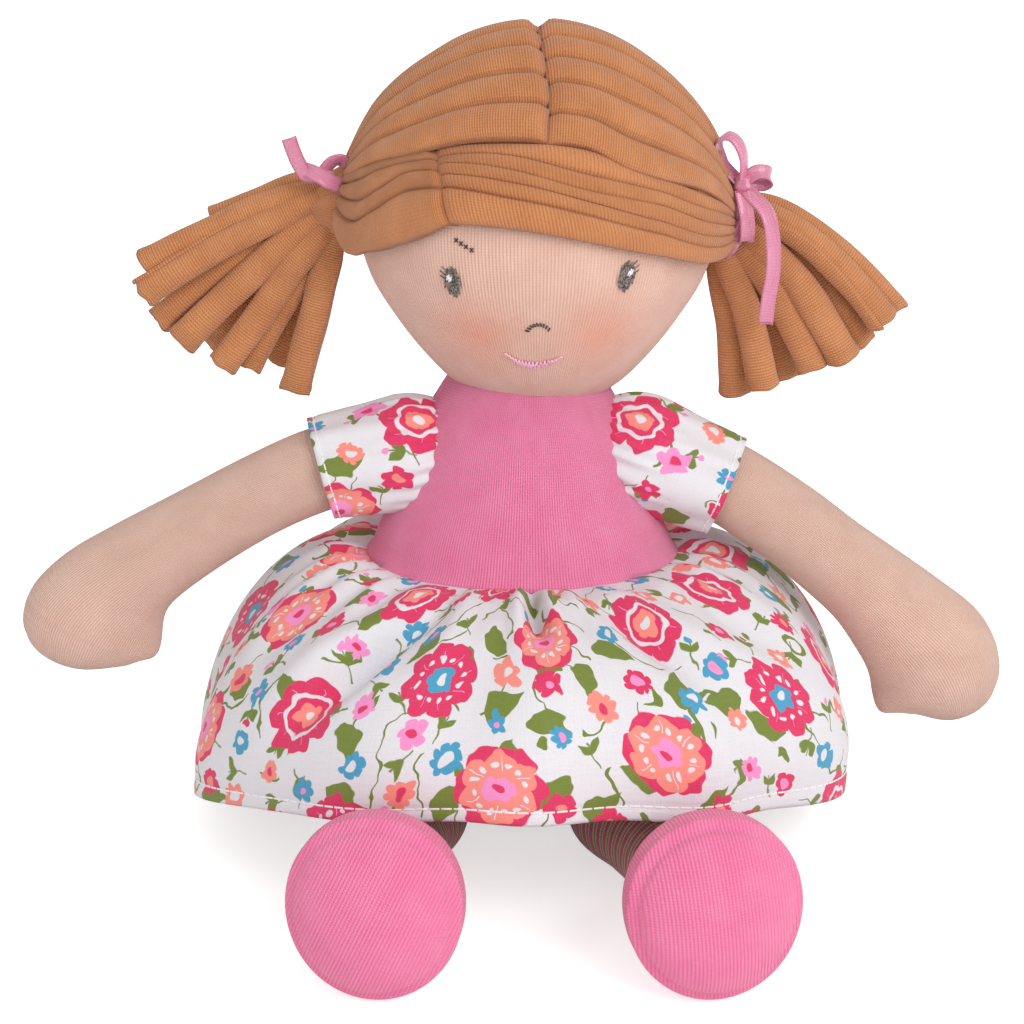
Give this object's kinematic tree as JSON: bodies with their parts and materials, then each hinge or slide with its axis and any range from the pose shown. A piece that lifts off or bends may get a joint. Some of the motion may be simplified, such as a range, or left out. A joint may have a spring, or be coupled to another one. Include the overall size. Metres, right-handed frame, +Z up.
{
  "type": "rag doll",
  "caption": "Seated stuffed jersey rag doll with a gathered floral skirt, puff sleeves, striped legs and jersey-strip pigtails tied with satin ribbon.",
  "frame": {"origin": "on the surface that the doll sits on, where the middle line of its leaning body meets it, on the seat's flat underside", "axes": "+Z up, -Y the way the doll faces, +X to the right as seen from the front"},
  "size_m": [0.2162, 0.1512, 0.1727],
  "materials": {
    "pink_jersey": "matte ribbed knit, pink",
    "printed_cotton": "white cotton with a small floral print",
    "plain_cotton": "plain off-white cotton",
    "skin_jersey": "fine ribbed knit, peach",
    "striped_jersey": "knit with narrow pink, olive and cream rings",
    "hair_jersey": "ribbed knit strips, light brown",
    "ribbon_satin": "satin ribbon, pink",
    "dark_thread": "embroidery thread, dark grey-brown",
    "pink_thread": "satin embroidery thread, light pink"
  },
  "bodies": {
    "torso": {"torso": "pink_jersey", "seat": "plain_cotton", "skirt": "printed_cotton"},
    "head": {"head": "skin_jersey", "hair_left": "hair_jersey", "fringe_left": "hair_jersey", "ribbon_band_left": "ribbon_satin", "bow_left": "ribbon_satin", "eye_left": "dark_thread", "hair_right": "hair_jersey", "fringe_right": "hair_jersey", "ribbon_band_right": "ribbon_satin", "bow_right": "ribbon_satin", "eye_right": "dark_thread", "brow": "dark_thread", "nose": "dark_thread", "mouth": "pink_thread"},
    "pigtail_left": {"pigtail_left": "hair_jersey"},
    "arm_left": {"arm_left": "skin_jersey", "sleeve_left": "printed_cotton"},
    "leg_left": {"leg_left": "striped_jersey", "foot_left": "pink_jersey", "sole_left": "pink_jersey"},
    "pigtail_right": {"pigtail_right": "hair_jersey"},
    "arm_right": {"arm_right": "skin_jersey", "sleeve_right": "printed_cotton"},
    "leg_right": {"leg_right": "striped_jersey", "foot_right": "pink_jersey", "sole_right": "pink_jersey"}
  },
  "joints": [
    {"name": "head_turn", "type": "hinge", "parent": "torso", "child": "head", "pos_m": [0.0017, 0.02027, 0.09537], "axis": [0, 0.2079, 0.9781], "range_deg": [-25, 25]},
    {"name": "pigtail_left_lift", "type": "hinge", "parent": "head", "child": "pigtail_left", "pos_m": [-0.0404, 0.02755, 0.13909], "axis": [0, 1, 0], "range_deg": [-5, 40]},
    {"name": "arm_left_swing", "type": "hinge", "parent": "torso", "child": "arm_left", "pos_m": [-0.02535, 0.01476, 0.08119], "axis": [0, 0.2079, 0.9781], "range_deg": [-20, 45]},
    {"name": "leg_left_hang", "type": "hinge", "parent": "torso", "child": "leg_left", "pos_m": [-0.015, -0.016, 0.0118], "axis": [1, 0, 0], "range_deg": [0, 85]},
    {"name": "pigtail_right_lift", "type": "hinge", "parent": "head", "child": "pigtail_right", "pos_m": [0.0498, 0.02755, 0.1296], "axis": [0, -1, 0], "range_deg": [-5, 40]},
    {"name": "arm_right_swing", "type": "hinge", "parent": "torso", "child": "arm_right", "pos_m": [0.02825, 0.01476, 0.08119], "axis": [0, -0.2079, -0.9781], "range_deg": [-20, 45]},
    {"name": "leg_right_hang", "type": "hinge", "parent": "torso", "child": "leg_right", "pos_m": [0.015, -0.016, 0.0118], "axis": [1, 0, 0], "range_deg": [0, 85]}
  ]
}
